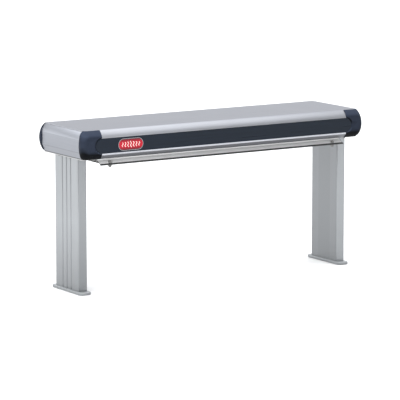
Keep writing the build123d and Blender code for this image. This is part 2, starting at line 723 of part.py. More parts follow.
with BuildPart() as cap_screws:
    pan_screws([(x * CAP_SCREW[0], y * CAP_SCREW[1]) for x in (-1, 1) for y in (-1, 1)], 11, 1.95)
save(cap_screws, "cap_screws")

with BuildPart() as panel_screws:
    pan_screws([(x * PANEL_SCREW[0], y * PANEL_SCREW[1]) for x in (-1, 1) for y in (-1, 1)], 6, 1.9)
save(panel_screws, "panel_screws")

# ---- cord gland ---------------------------------------------------------------------
GLAND_THREAD = 7.9
with BuildPart() as cable_gland:
    with BuildSketch(Plane.XY.offset(BASE_BOTTOM)):
        with Locations((GLAND_X, GLAND_Y)):
            hexagon(22.0)
    extrude(amount=-6)
    with BuildSketch(Plane.XY.offset(BASE_BOTTOM - 6)):
        with Locations((GLAND_X, GLAND_Y)):
            Circle(10.0)
    extrude(amount=-12)
    fillet(cable_gland.faces().sort_by(Axis.Z)[0].edges(), radius=3.5)
    with BuildSketch(Plane.XY.offset(BASE_BOTTOM)):
        with Locations((GLAND_X, GLAND_Y)):
            Circle(GLAND_THREAD)
    extrude(amount=10)
    with Locations((GLAND_X, GLAND_Y, BASE_BOTTOM - 4)):
        Cylinder(radius=GLAND_BORE, height=30, mode=Mode.SUBTRACT)
save(cable_gland, "cable_gland")

with BuildPart() as gland_locknut:
    with BuildSketch(Plane.XY.offset(BASE_TOP)):
        with Locations((GLAND_X, GLAND_Y)):
            hexagon(20.0)
            Circle(GLAND_THREAD + 0.05, mode=Mode.SUBTRACT)
    extrude(amount=4)
save(gland_locknut, "gland_locknut")

# ---- rocker switch ------------------------------------------------------------------
BEZEL_BOTTOM = BASE_BOTTOM - 1.8
POCKET = (11.2, 17.6)
PIVOT_PIN = 1.2
with BuildPart() as switch_body:
    with BuildSketch(Plane.XY.offset(BEZEL_BOTTOM)):
        with Locations((SWITCH_X, SWITCH_Y)):
            RectangleRounded(17, 24, 1.5)
    extrude(amount=1.8)
    with BuildSketch(Plane.XY.offset(BASE_BOTTOM)):
        with Locations((SWITCH_X, SWITCH_Y)):
            Rectangle(13.8, 20.8)
    extrude(amount=14)
    with BuildSketch(Plane.XY.offset(BEZEL_BOTTOM)):
        with Locations((SWITCH_X, SWITCH_Y)):
            Rectangle(*POCKET)
    extrude(amount=10, mode=Mode.SUBTRACT)
    with Locations(Plane.YZ.offset(SWITCH_X) * Location((SWITCH_Y, PIVOT_Z))):
        Cylinder(radius=PIVOT_PIN + 0.05, height=12.7, mode=Mode.SUBTRACT)
save(switch_body, "switch_body")

# at rest the front end of the rocker is pressed in; the sketch is drawn square to the rocker
tilt = radians(-ROCK_ANGLE)
rocker_plane = Plane(
    origin=(SWITCH_X, SWITCH_Y, PIVOT_Z), x_dir=(0, cos(tilt), sin(tilt)), z_dir=(1, 0, 0)
)
ROCKER_WIDTH = 10.6
with BuildPart() as switch_rocker:
    with BuildSketch(rocker_plane.offset(-ROCKER_WIDTH / 2)):
        with BuildLine():
            Polyline((-7.4, -6.4), (-7.4, 0.5), (-5.9, 1.6), (5.9, 1.6), (7.4, 0.5), (7.4, -6.4))
            ThreePointArc((7.4, -6.4), (0, -5.0), (-7.4, -6.4))
        make_face()
    extrude(amount=ROCKER_WIDTH)
    with Locations(rocker_plane):
        Cylinder(radius=PIVOT_PIN, height=12.4)
save(switch_rocker, "switch_rocker")

TAB_Z = BASE_BOTTOM + 14
TAB_SPOTS = ((SWITCH_X, SWITCH_Y - 5), (SWITCH_X, SWITCH_Y + 5))
with BuildPart() as switch_tabs:
    with BuildSketch(Plane.XY.offset(TAB_Z)):
        with Locations(*TAB_SPOTS):
            Rectangle(4.8, 0.8)
    extrude(amount=8)
save(switch_tabs, "switch_tabs")

# ---- wiring -------------------------------------------------------------------------
BLOCK = (16.0, 36.0, 18.0)
BLOCK_X = WEB_X + SHEET + BLOCK[0] / 2
with BuildPart() as terminal_block:
    with BuildSketch(Plane.XY.offset(ELEMENT_Z - 10)):
        with Locations((BLOCK_X, BLOCK_Y)):
            RectangleRounded(BLOCK[0], BLOCK[1], 1.5)
    extrude(amount=BLOCK[2])
    for n in (-1, 0, 1):
        with Locations(Plane.YZ.offset(BLOCK_X + 6) * Location((BLOCK_Y + 11 * n, ELEMENT_Z))):
            Cylinder(radius=3.2, height=6, mode=Mode.SUBTRACT)
save(terminal_block, "terminal_block")

GROUND = (STUD[0], -80.0)
with BuildPart() as ground_stud:
    with Locations((*GROUND, BASE_BOTTOM + 8)):
        Cylinder(radius=2.5, height=16)
    with BuildSketch(Plane.XY.offset(BASE_TOP)):
        with Locations(GROUND):
            hexagon(8.0)
    extrude(amount=4)
save(ground_stud, "ground_stud")


def lead(points, radius=8.0):
    """An insulated wire along straight runs joined by arcs."""
    with BuildLine(mode=Mode.PRIVATE) as route:
        FilletPolyline(*points, radius=radius)
    start = route.line @ 0
    with BuildSketch(Plane(origin=start, z_dir=route.line % 0), mode=Mode.PRIVATE) as round_wire:
        Circle(WIRE)
    sweep(round_wire.sketch, path=route.line)


tab_top = TAB_Z + 8
block_top = ELEMENT_Z - 10 + BLOCK[2]
high_run = 426.0
with BuildPart() as supply_leads:
    lead([
        (GLAND_X, GLAND_Y, BASE_BOTTOM + 10.5),
        (GLAND_X, GLAND_Y, high_run),
        (SWITCH_X, SWITCH_Y + 5, high_run),
        (SWITCH_X, SWITCH_Y + 5, tab_top),
    ])
    lead([
        (SWITCH_X, SWITCH_Y - 5, tab_top),
        (SWITCH_X, SWITCH_Y - 5, high_run),
        (SWITCH_X, BLOCK_Y, high_run),
        (SWITCH_X, BLOCK_Y, block_top),
    ])
save(supply_leads, "supply_leads")

RING_TAIL = 9.2
with BuildPart() as element_leads:
    lead([
        (SWITCH_X, BLOCK_Y + BLOCK[1] / 2, ELEMENT_Z),
        (SWITCH_X, -30, ELEMENT_Z),
        (RING_X + RING_THICK / 2, -21, ELEMENT_Z),
        (RING_X + RING_THICK / 2, -RING_TAIL, ELEMENT_Z),
    ])
    lead([
        (BLOCK_X, -70, block_top),
        (BLOCK_X, -70, RETURN_LEAD_Z),
        (-BLOCK_X, -70, RETURN_LEAD_Z),
        (-BLOCK_X, -70, ELEMENT_Z),
        (-RING_X - RING_THICK / 2, -RING_TAIL, ELEMENT_Z),
    ])
save(element_leads, "element_leads")

with BuildPart() as ring_tongues:
    for x_dir in (-1, 1):
        with BuildSketch(Plane.YZ.offset(x_dir * RING_X)):
            with Locations((0, ELEMENT_Z)):
                Circle(4.0)
            with Locations((-5.5, ELEMENT_Z)):
                Rectangle(7.0, 3.0)
            with Locations((0, ELEMENT_Z)):
                Circle(2.05, mode=Mode.SUBTRACT)
        extrude(amount=x_dir * RING_THICK)
save(ring_tongues, "ring_tongues")
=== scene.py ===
"""Looks for the infrared strip warmer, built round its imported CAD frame.

Metres, in the CAD frame: the origin is on the counter at the centre of the footprint, +X runs
along the length to the right, the customer side faces -Y and +Z is up.
"""

import json
import math

import bmesh
import bpy
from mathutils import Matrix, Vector


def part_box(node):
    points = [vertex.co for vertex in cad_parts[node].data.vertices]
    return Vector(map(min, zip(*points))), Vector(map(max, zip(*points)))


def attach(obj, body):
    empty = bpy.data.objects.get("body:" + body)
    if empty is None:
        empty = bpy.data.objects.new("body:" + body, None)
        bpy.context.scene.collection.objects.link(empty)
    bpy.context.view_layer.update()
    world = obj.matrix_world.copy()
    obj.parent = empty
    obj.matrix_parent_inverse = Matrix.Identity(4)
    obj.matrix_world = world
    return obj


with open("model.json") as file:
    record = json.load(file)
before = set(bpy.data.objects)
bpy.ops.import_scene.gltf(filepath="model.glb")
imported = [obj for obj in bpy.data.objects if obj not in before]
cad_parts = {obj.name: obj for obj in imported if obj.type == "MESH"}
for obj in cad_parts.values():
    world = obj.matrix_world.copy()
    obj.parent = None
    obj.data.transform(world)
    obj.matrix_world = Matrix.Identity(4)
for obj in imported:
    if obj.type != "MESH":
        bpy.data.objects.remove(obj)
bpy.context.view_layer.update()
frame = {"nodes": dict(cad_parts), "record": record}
NODES = frame["nodes"]
MM = 0.001


# ---- material building blocks ---------------------------------------------------------
class Shader:
    """One node material, with short calls for the nodes that recur."""

    def __init__(self, name):
        self.material = bpy.data.materials.new(name)
        self.material.use_nodes = True
        self.tree = self.material.node_tree
        self.bsdf = self.tree.nodes["Principled BSDF"]
        self.bump_in = None

    def node(self, kind, **settings):
        made = self.tree.nodes.new("ShaderNode" + kind)
        for key, value in settings.items():
            if hasattr(made, key):
                setattr(made, key, value)
            else:
                made.inputs[key.replace("_", " ")].default_value = value
        return made

    def link(self, source, target):
        self.tree.links.new(source, target)

    def set(self, **values):
        for key, value in values.items():
            self.bsdf.inputs[key.replace("_", " ")].default_value = value

    def coords(self, scale=(1, 1, 1), rotation=(0, 0, 0)):
        where = self.node("TexCoord")
        mapping = self.node("Mapping", Scale=scale, Rotation=rotation)
        self.link(where.outputs["Object"], mapping.inputs["Vector"])
        return mapping.outputs["Vector"]

    def noise(self, size, stretch=(1, 1, 1), detail=3.0, roughness=0.55):
        """Noise whose features are about `size` metres across, longer where stretch is above 1."""
        made = self.node("TexNoise", Scale=1.0, Detail=detail, Roughness=roughness)
        self.link(self.coords([1 / (size * s) for s in stretch]), made.inputs["Vector"])
        return made.outputs["Fac"]

    def band(self, value, low, high, start=0.0, end=1.0):
        """Value clamped and spread from low..high to start..end."""
        made = self.node("MapRange", clamp=True)
        made.inputs["From Min"].default_value = low
        made.inputs["From Max"].default_value = high
        made.inputs["To Min"].default_value = start
        made.inputs["To Max"].default_value = end
        self.link(value, made.inputs["Value"])
        return made.outputs["Result"]

    def math(self, operation, a, b):
        made = self.node("Math", operation=operation)
        for socket, value in zip(made.inputs, (a, b)):
            if isinstance(value, (int, float)):
                socket.default_value = value
            else:
                self.link(value, socket)
        return made.outputs["Value"]

    def mix(self, factor, a, b, blend="MIX"):
        """Colour mix; each of a and b is a colour or a socket."""
        made = self.node("Mix", data_type="RGBA", blend_type=blend)
        sockets = [s for s in made.inputs if s.type == "RGBA"]
        for socket, value in zip(sockets, (a, b)):
            if isinstance(value, (tuple, list)):
                socket.default_value = (*value[:3], 1.0)
            else:
                self.link(value, socket)
        if isinstance(factor, (int, float)):
            made.inputs["Factor"].default_value = factor
        else:
            self.link(factor, made.inputs["Factor"])
        return [s for s in made.outputs if s.type == "RGBA"][0]

    def colour(self, socket):
        self.link(socket, self.bsdf.inputs["Base Color"])

    def rough(self, socket):
        self.link(socket, self.bsdf.inputs["Roughness"])

    def bump(self, height, distance, strength=1.0):
        """Add a bump layer; distance is the height of the relief in metres."""
        made = self.node("Bump", Strength=strength, Distance=distance)
        self.link(height, made.inputs["Height"])
        if self.bump_in is not None:
            self.link(self.bump_in, made.inputs["Normal"])
        self.bump_in = made.outputs["Normal"]
        self.link(self.bump_in, self.bsdf.inputs["Normal"])

    def upward(self, low, high, start=0.0, end=1.0):
        """How far faces look up, spread from low..high (-1 is straight down) to start..end."""
        split = self.node("SeparateXYZ")
        self.link(self.node("NewGeometry").outputs["Normal"], split.inputs["Vector"])
        return self.band(split.outputs["Z"], low, high, start, end)

    def along(self, axis, low, high, start=0.0, end=1.0, both=False):
        """Position on one axis in metres, spread from low..high to start..end.

        With both, the distance to either side of the centre plane is taken.
        """
        split = self.node("SeparateXYZ")
        self.link(self.coords(), split.inputs["Vector"])
        place = split.outputs[axis.upper()]
        if both:
            place = self.math("ABSOLUTE", place, 0.0)
        return self.band(place, low, high, start, end)

    def plateau(self, axis, start, full, fading, end):
        """1 from full to fading on one axis in metres, and 0 below start and above end."""
        rise = self.along(axis, start, full)
        return self.math("MULTIPLY", rise, self.along(axis, fading, end, 1.0, 0.0))


def shade(base, factor):
    """A colour made darker or lighter by a factor."""
    return [min(c * factor, 1.0) for c in base]


SATIN_ROUGHNESS = 0.40


def satin_aluminium(name, base, along, wear_and_painted_shade):
    """Clear-anodised extrusion: fine die lines along one axis under an etched satin skin.

    The function passed last paints light and shade into the colour of the faces that differ in
    brightness.
    """
    s = Shader(name)
    stretch = {"x": (90, 1, 1), "y": (1, 90, 1), "z": (1, 1, 90)}[along]
    die_lines = s.noise(0.0013, stretch, detail=3.0)
    broad_lines = s.noise(0.009, stretch, detail=2.0)
    cloud = s.noise(0.16, detail=2.0)
    etch = s.noise(0.00045, detail=2.0)
    tint = s.mix(s.band(cloud, 0.3, 0.7), shade(base, 0.95), shade(base, 1.04))
    tint = s.mix(s.band(broad_lines, 0.35, 0.65, 0.0, 0.10), tint, shade(base, 0.75))
    tint = s.mix(s.band(die_lines, 0.35, 0.65, 0.0, 0.14), tint, shade(base, 0.75))
    s.colour(wear_and_painted_shade(s, tint, base))
    lines = s.band(die_lines, 0.3, 0.7, -0.03, 0.03)
    patches = s.band(cloud, 0.3, 0.7, SATIN_ROUGHNESS - 0.02, SATIN_ROUGHNESS + 0.02)
    s.rough(s.math("ADD", lines, patches))
    s.bump(die_lines, 0.00002, 0.5)
    s.bump(etch, 0.00001, 0.4)
    s.set(Metallic=0.85)
    return s.material


# Where the housing lip's painted highlight runs, and the colour of the painted shade on the flat top.
LIP_BAND = (0.3850, 0.3862, 0.3899, 0.3905)
FLAT_TOP_PAINTED_SHADE = (0.246, 0.252, 0.284)


def housing_painted_shade(s, tint, base):
    """Painted light and shade: a painted highlight on the lip, painted shade on the flat top and on the
    underside and lower slope.
    """
    painted_lip_highlight = s.mix(s.plateau("z", *LIP_BAND), tint, shade(base, 1.32))
    painted_top_shading = s.mix(s.upward(0.74, 0.92), painted_lip_highlight, FLAT_TOP_PAINTED_SHADE)
    return s.mix(s.upward(-0.65, -0.25, 0.95, 0.0), painted_top_shading, shade(base, 0.38))


# Where the legs' painted shade goes: groove floors, inner faces, narrow faces and lower ends.
GROOVE_FLOOR, OUTER_FACE = 0.4362, 0.4386
GROOVES_REACH = 0.029
INNER_FACE_X = (0.4123, 0.4165)
NARROW_FACE_Y = (0.0612, 0.0626)
LOW_END_HEIGHT = 0.20


def leg_painted_shade(s, tint, base):
    """Painted shade: dark grooves, and darker inner faces, narrow faces and lower ends.

    The narrow faces and the lower end get more painted shade on the left leg than on the right one.
    """
    deep = s.along("x", GROOVE_FLOOR, OUTER_FACE, 0.8, 0.0, both=True)
    among_grooves = s.along("y", GROOVES_REACH - MM, GROOVES_REACH + MM, 1.0, 0.0, both=True)
    groove_painted_shade = s.mix(s.math("MULTIPLY", deep, among_grooves), tint, shade(base, 0.40))
    inner = s.mix(s.along("x", *INNER_FACE_X, 0.9, 0.0, both=True), groove_painted_shade, shade(base, 0.66))
    narrow = s.along("y", *NARROW_FACE_Y, both=True)
    narrow_right = s.math("MULTIPLY", narrow, s.along("x", -0.1, 0.1))
    edges = s.mix(narrow_right, s.mix(narrow, inner, shade(base, 0.84)), shade(base, 0.97))
    less_on_right = s.along("x", -0.1, 0.1, 1.0, 0.3)
    low_end = s.math("MULTIPLY", s.along("z", 0.0, LOW_END_HEIGHT, 0.9, 0.0), less_on_right)
    return s.mix(low_end, edges, shade(base, 0.62))


# Heights of the end panel's painted highlight, painted shade bands and painted shadow along the bottom
# edge.
PANEL_UPPER_BEND = (0.4285, 0.4295)
PANEL_LOWER_BEND = (0.3926, 0.3934, 0.3944, 0.3952)
PANEL_TURNED_UNDER = (0.3930, 0.3950)
PANEL_BOTTOM_SHADOW = (0.3768, 0.3780)


def panel_painted_shade(s, tint, base):
    """Painted light and shade: a painted highlight on the upper band, painted shade growing downwards
    over the bands, painted shade on the lower bend and a painted shadow along the bottom edge.
    """
    upper = s.mix(s.along("z", *PANEL_UPPER_BEND), tint, shade(base, 1.20))
    middle = s.mix(s.along("z", 0.400, 0.425, 0.8, 0.0), upper, shade(base, 0.90))
    under = s.mix(s.along("z", *PANEL_TURNED_UNDER, 0.7, 0.0), middle, shade(base, 0.72))
    bend = s.math("MULTIPLY", s.plateau("z", *PANEL_LOWER_BEND), 0.5)
    creased = s.mix(bend, under, shade(base, 0.50))
    return s.mix(s.along("z", *PANEL_BOTTOM_SHADOW, 0.9, 0.0), creased, shade(base, 0.22))


def plain_metal(name, base, roughness):
    """Plated or bare metal with a faint mottle and fine grain."""
    s = Shader(name)
    mottle = s.noise(0.006, detail=4.0)
    fine = s.noise(0.0004, detail=2.0)
    s.colour(s.mix(s.band(mottle, 0.3, 0.7), shade(base, 0.88), base))
    s.rough(s.band(mottle, 0.3, 0.7, roughness - 0.05, roughness + 0.06))
    s.bump(fine, 0.00001, 0.5)
    s.set(Metallic=1.0)
    return s.material


TROUGH_CROWN = (0.405, 0.438)
# Where the painted shade line runs along the hem and the cut ends, and its colour.
HEM_LINE = (0.3603, 0.3608)
SKIRT_ENDS = (0.3960, 0.3964)
PAINTED_SHADE_LINE_COLOUR = (0.015, 0.015, 0.015)


def reflector_sheet(name, base, roughness):
    """Bright rolled sheet: faint lines along the length, and a straw heat tint over the element.

    The rolled hem and the cut ends get a dark line of painted shade.
    """
    s = Shader(name)
    rolling = s.noise(0.0016, (70, 1, 1), detail=3.0)
    smears = s.noise(0.05, (3, 1, 1), detail=4.0)
    tint = s.mix(s.band(rolling, 0.35, 0.65, 0.0, 0.16), base, shade(base, 0.72))
    heat = s.math("MULTIPLY", s.along("z", *TROUGH_CROWN), s.band(smears, 0.35, 0.65, 0.15, 0.55))
    heated = s.mix(heat, tint, (0.52, 0.42, 0.26))
    ends = s.along("x", *SKIRT_ENDS, both=True)
    painted_shade_line = s.math("MAXIMUM", s.along("z", *HEM_LINE, 1.0, 0.0), ends)
    s.colour(s.mix(s.math("MULTIPLY", painted_shade_line, 0.97), heated, PAINTED_SHADE_LINE_COLOUR))
    s.rough(s.band(smears, 0.3, 0.7, roughness - 0.04, roughness + 0.08))
    s.bump(rolling, 0.00001, 0.4)
    s.set(Metallic=0.1, Specular_IOR_Level=0.3)
    return s.material


def heated_sheath(name):
    """Metal sheath of the element, oxidised in bands of brown, straw and blue grey."""
    s = Shader(name)
    bands = s.noise(0.045, (1, 40, 40), detail=2.0)
    scale = s.noise(0.0012, detail=4.0)
    oxide = s.mix(s.band(bands, 0.35, 0.5), (0.16, 0.17, 0.20), (0.24, 0.17, 0.11))
    oxide = s.mix(s.band(bands, 0.52, 0.66), oxide, (0.34, 0.27, 0.17))
    s.colour(s.mix(s.band(scale, 0.5, 0.75, 0.0, 0.6), oxide, (0.06, 0.055, 0.05)))
    s.rough(s.band(scale, 0.3, 0.7, 0.34, 0.56))
    s.bump(scale, 0.00004, 0.6)
    s.set(Metallic=0.9)
    return s.material


def moulded_plastic(name, base, roughness, relief=0.00003, specular=0.5, top=1.0, under=1.0):
    """Spark-eroded plastic or ceramic; top and under paint light and shade into the colour of the faces
    that look up and down.
    """
    s = Shader(name)
    grit = s.noise(0.0007, detail=2.0)
    cloud = s.noise(0.03, detail=3.0)
    tint = s.mix(s.band(cloud, 0.3, 0.7), shade(base, 0.88), shade(base, 1.10))
    # Faces that look up get a painted highlight and faces that look down get painted shade.
    painted_top_light = s.mix(s.upward(0.18, 0.50), tint, shade(base, top))
    s.colour(s.mix(s.upward(-0.30, 0.0, 1.0, 0.0), painted_top_light, shade(base, under)))
    s.rough(s.band(cloud, 0.3, 0.7, roughness - 0.03, roughness + 0.04))
    s.bump(grit, relief, 0.6)
    s.set(Specular_IOR_Level=specular)
    return s.material


def extruded_strip(name, base, roughness, specular):
    """Semi-gloss plastic strip with faint drawn streaks along its length."""
    s = Shader(name)
    streaks = s.noise(0.0022, (80, 1, 1), detail=3.0)
    dust = s.noise(0.0009, detail=2.0)
    tint = s.mix(s.band(streaks, 0.35, 0.65), shade(base, 0.86), shade(base, 1.12))
    s.colour(s.mix(s.band(dust, 0.66, 0.80, 0.0, 0.18), tint, shade(base, 2.0)))
    s.rough(s.band(streaks, 0.3, 0.7, roughness - 0.03, roughness + 0.05))
    s.bump(streaks, 0.00001, 0.5)
    s.set(Specular_IOR_Level=specular)
    return s.material


def enamel(name, base, rim):
    """Glossy translucent enamel over a stamped plate, a little darker towards its edges."""
    s = Shader(name)
    depth = s.noise(0.004, detail=3.0)
    low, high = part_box("badge_inlay")
    border = 0.30 * (high.z - low.z)
    below = s.along("z", low.z, low.z + border, 1.0, 0.0)
    above = s.along("z", high.z - border, high.z)
    edge = s.math("MAXIMUM", below, above)
    tint = s.mix(s.band(depth, 0.3, 0.7, 0.0, 0.25), base, shade(base, 0.7))
    s.colour(s.mix(edge, tint, rim))
    s.rough(s.band(depth, 0.3, 0.7, 0.20, 0.28))
    s.set(Coat_Weight=0.15, Coat_Roughness=0.08, Specular_IOR_Level=0.25)
    return s.material


def powder_coat(name, base):
    """Silver-grey powder coat: fine orange peel, scuffs and a painted highlight on the faces that look
    up.
    """
    s = Shader(name)
    peel = s.noise(0.0011, detail=2.0)
    cloud = s.noise(0.05, detail=3.0)
    scuff = s.noise(0.006, (6, 6, 1), detail=5.0)
    tint = s.mix(s.band(cloud, 0.3, 0.7), shade(base, 0.94), shade(base, 1.04))
    # Faces that look up get a painted highlight.
    painted_top_shading = s.mix(s.upward(0.35, 0.85), tint, shade(base, 1.55))
    s.colour(s.mix(s.band(scuff, 0.62, 0.72, 0.0, 0.25), painted_top_shading, shade(base, 0.62)))
    s.rough(s.band(cloud, 0.3, 0.7, 0.36, 0.46))
    s.bump(peel, 0.00003, 0.5)
    s.set(Metallic=0.35)
    return s.material


def braided_sleeve(name, base):
    """Glass-fibre braid, woven as two crossing sets of fine strands."""
    s = Shader(name)
    cross = s.node("TexWave", wave_type="BANDS", bands_direction="DIAGONAL", Scale=900.0, Distortion=0.6)
    s.link(s.coords(), cross.inputs["Vector"])
    wear_and_painted_shade = s.noise(0.004, detail=3.0)
    strands = cross.outputs["Fac"]
    tint = s.mix(strands, shade(base, 0.72), base)
    s.colour(s.mix(s.band(wear_and_painted_shade, 0.55, 0.75, 0.0, 0.3), tint, shade(base, 0.6)))
    s.rough(s.band(wear_and_painted_shade, 0.3, 0.7, 0.78, 0.9))
    s.bump(strands, 0.0001, 0.7)
    return s.material


SATIN = (0.378, 0.387, 0.415)
LEG_SATIN = (0.352, 0.364, 0.376)
PANEL_SATIN = (0.300, 0.311, 0.340)
MATERIALS = {
    "anodised_aluminium": satin_aluminium("satin_housing", SATIN, "x", housing_painted_shade),
    "leg_aluminium": satin_aluminium("satin_leg", LEG_SATIN, "z", leg_painted_shade),
    "panel_aluminium": satin_aluminium("satin_panel", PANEL_SATIN, "y", panel_painted_shade),
    # The caps' upward faces get a painted highlight (top) and their downward faces painted shade
    # (under).
    "cap_plastic": moulded_plastic(
        "cap_plastic", (0.0172, 0.0220, 0.0345), 0.46, specular=0.055, top=1.8, under=0.08),
    "strip_plastic": extruded_strip("strip_plastic", (0.0045, 0.0085, 0.0155), 0.30, 0.20),
    "badge_bright": plain_metal("badge_bright", (0.30, 0.30, 0.31), 0.25),
    "badge_red": enamel("badge_red", (0.36, 0.002, 0.014), (0.06, 0.001, 0.006)),
    "bright_aluminium": reflector_sheet("bright_aluminium", (0.80, 0.80, 0.80), 0.38),
    "aluminised_steel": plain_metal("aluminised_steel", (0.50, 0.50, 0.50), 0.42),
    "element_sheath": heated_sheath("element_sheath"),
    "ceramic": moulded_plastic("ceramic", (0.75, 0.72, 0.65), 0.55),
    "zinc_steel": plain_metal("zinc_steel", (0.22, 0.22, 0.215), 0.36),
    # The guard wire is dark steel. Its darkness also stands in for the painted shade line under the hem.
    "guard_wire": plain_metal("guard_wire", (0.12, 0.115, 0.11), 0.34),
    "foot_grey": powder_coat("foot_grey", (0.225, 0.235, 0.242)),
    "rubber": moulded_plastic("rubber", (0.02, 0.02, 0.02), 0.75),
    "black_plastic": moulded_plastic("black_plastic", (0.012, 0.012, 0.014), 0.40),
    "brass": plain_metal("brass", (0.72, 0.53, 0.22), 0.30),
    "lead_sleeve": braided_sleeve("lead_sleeve", (0.68, 0.66, 0.60)),
    "pale_print": moulded_plastic("pale_print", (0.72, 0.60, 0.56), 0.35, relief=0.000003),
}

# ---- CAD nodes --------------------------------------------------------------------------
SLOT_OF = {piece["node"]: piece["material_slot"] for piece in frame["record"]["subparts"]}


WELD_REACH = 0.002 * MM
FLAT_WITHIN = math.radians(0.4)
EDGE_RADIUS = 0.3 * MM
SHARP_FROM = math.radians(32)


def dress(name, material):
    """Give a CAD node its material and softly rounded edges."""
    node = NODES[name]
    node.data.materials.clear()
    node.data.materials.append(material)
    weld = node.modifiers.new("weld", "WELD")
    weld.merge_threshold = WELD_REACH
    flat = node.modifiers.new("flatten", "DECIMATE")
    flat.decimate_type = "DISSOLVE"
    flat.angle_limit = FLAT_WITHIN
    bevel = node.modifiers.new("edges", "BEVEL")
    bevel.width = EDGE_RADIUS
    bevel.segments = 2
    bevel.limit_method = "ANGLE"
    bevel.angle_limit = SHARP_FROM
    bevel.use_clamp_overlap = True
    bevel.harden_normals = True


OWN_ALUMINIUM = {"leg_": "leg_aluminium", "end_panel_": "panel_aluminium"}
for name in NODES:
    key = SLOT_OF[name]
    for start, own in OWN_ALUMINIUM.items():
        if key == "anodised_aluminium" and name.startswith(start):
            key = own
    dress(name, MATERIALS[key])

# ---- small pieces -----------------------------------------------------------------------
BADGE_LOW, BADGE_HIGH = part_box("badge_inlay")
PRINT_DEPTH = 0.12


def piece(name, mesh, material_key, slot, body="frame"):
    """Put a finished bmesh into the scene as a piece that rides on a CAD body."""
    data = bpy.data.meshes.new(name)
    mesh.to_mesh(data)
    mesh.free()
    for face in data.polygons:
        face.use_smooth = True
    data.materials.append(MATERIALS[material_key])
    made = bpy.data.objects.new(name, data)
    bpy.context.scene.collection.objects.link(made)
    made.modifiers.new("split", "EDGE_SPLIT").split_angle = math.radians(40)
    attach(made, body)


def lathe(mesh, profile, centre, steps=24):
    """Turn (radius, height) pairs about an upright axis through centre; closes at radius 0."""
    rings = []
    for radius, height in profile:
        count = 1 if radius == 0 else steps
        ring = []
        for n in range(count):
            turn = 2 * math.pi * n / steps
            offset = Vector((radius * math.cos(turn), radius * math.sin(turn), height))
            ring.append(mesh.verts.new(Vector(centre) + offset * MM))
        rings.append(ring)
    for low, high in zip(rings, rings[1:]):
        for n in range(steps):
            m = n + 1
            quad = (low[n % len(low)], low[m % len(low)], high[m % len(high)], high[n % len(high)])
            corners = list(dict.fromkeys(quad))
            if len(corners) > 2:
                mesh.faces.new(corners)


def prism(mesh, outline, to_world, depth):
    """Solid between an outline and its copy pushed out by depth; to_world places (u, v, w)."""
    front = [mesh.verts.new(to_world(u, v, depth)) for u, v in outline]
    back = [mesh.verts.new(to_world(u, v, 0.0)) for u, v in outline]
    mesh.faces.new(front)
    mesh.faces.new(list(reversed(back)))
    for n in range(len(outline)):
        m = (n + 1) % len(outline)
        mesh.faces.new((front[m], front[n], back[n], back[m]))


def ribbon(path, width):
    """Outline of a flat ribbon of constant width with round ends, along a list of points."""
    left, right = [], []
    for n, (u, v) in enumerate(path):
        before, after = path[max(n - 1, 0)], path[min(n + 1, len(path) - 1)]
        run = Vector((after[0] - before[0], after[1] - before[1])).normalized()
        left.append((u - run.y * width / 2, v + run.x * width / 2))
        right.append((u + run.y * width / 2, v - run.x * width / 2))
    ends = []
    for (u, v), (p, q) in ((path[-1], path[-2]), (path[0], path[1])):
        run = Vector((u - p, v - q)).normalized() * width / 2
        ends.append((u + run.x, v + run.y))
    return left + [ends[0]] + list(reversed(right)) + [ends[1]]


def nameplate_motif():
    """A row of rising heat waves, raised in pale print on the blank nameplate."""
    centre = (BADGE_LOW + BADGE_HIGH) / 2
    face = BADGE_LOW.y

    def on_plate(u, v, w):
        return Vector((centre.x + u * MM, face - w * MM, centre.z + v * MM))

    mesh = bmesh.new()
    half_height, pitch, sway, width, steps = 8.0, 8.6, 1.5, 1.7, 24
    for column in range(-3, 4):
        reach = half_height * (1 - 0.12 * abs(column))
        heights = [reach * (2 * n / steps - 1) for n in range(steps + 1)]
        path = [(column * pitch + sway * math.sin(v * 0.62), v) for v in heights]
        prism(mesh, ribbon(path, width), on_plate, PRINT_DEPTH)
    bmesh.ops.recalc_face_normals(mesh, faces=mesh.faces)
    piece("nameplate_motif", mesh, "pale_print", "badge_bright")


ROCKER_PIVOT_Y, ROCKER_PIVOT_Z = 0.080, 0.3765


def rocker_marks():
    """Generic on and off marks printed on the two ends of the rocker."""
    low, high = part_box("switch_rocker")
    pivot = Vector(((low.x + high.x) / 2, ROCKER_PIVOT_Y, ROCKER_PIVOT_Z))
    tilt = math.radians(-12)
    half_length, middle_depth, end_drop = 7.4, 5.0, 1.4

    def on_rocker(u, v, w):
        """u across, v along the rocker from its pivot, w out of its curved face."""
        depth = -(middle_depth + end_drop * (v / half_length) ** 2) - w
        y = v * math.cos(tilt) - depth * math.sin(tilt)
        z = v * math.sin(tilt) + depth * math.cos(tilt)
        return pivot + Vector((u, y, z)) * MM

    mesh = bmesh.new()
    bar = [(-0.35, -5.6), (0.35, -5.6), (0.35, -2.8), (-0.35, -2.8)]
    prism(mesh, bar, on_rocker, PRINT_DEPTH)
    steps = 24
    inner, outer, ring_v = 0.95, 1.55, 4.2
    for n in range(steps):
        a, b = 2 * math.pi * n / steps, 2 * math.pi * (n + 1) / steps
        around = ((outer, a), (outer, b), (inner, b), (inner, a))
        corners = [(r * math.cos(turn), ring_v + r * math.sin(turn)) for r, turn in around]
        prism(mesh, corners, on_rocker, PRINT_DEPTH)
    bmesh.ops.recalc_face_normals(mesh, faces=mesh.faces)
    piece("rocker_marks", mesh, "pale_print", "badge_bright", "rocker")


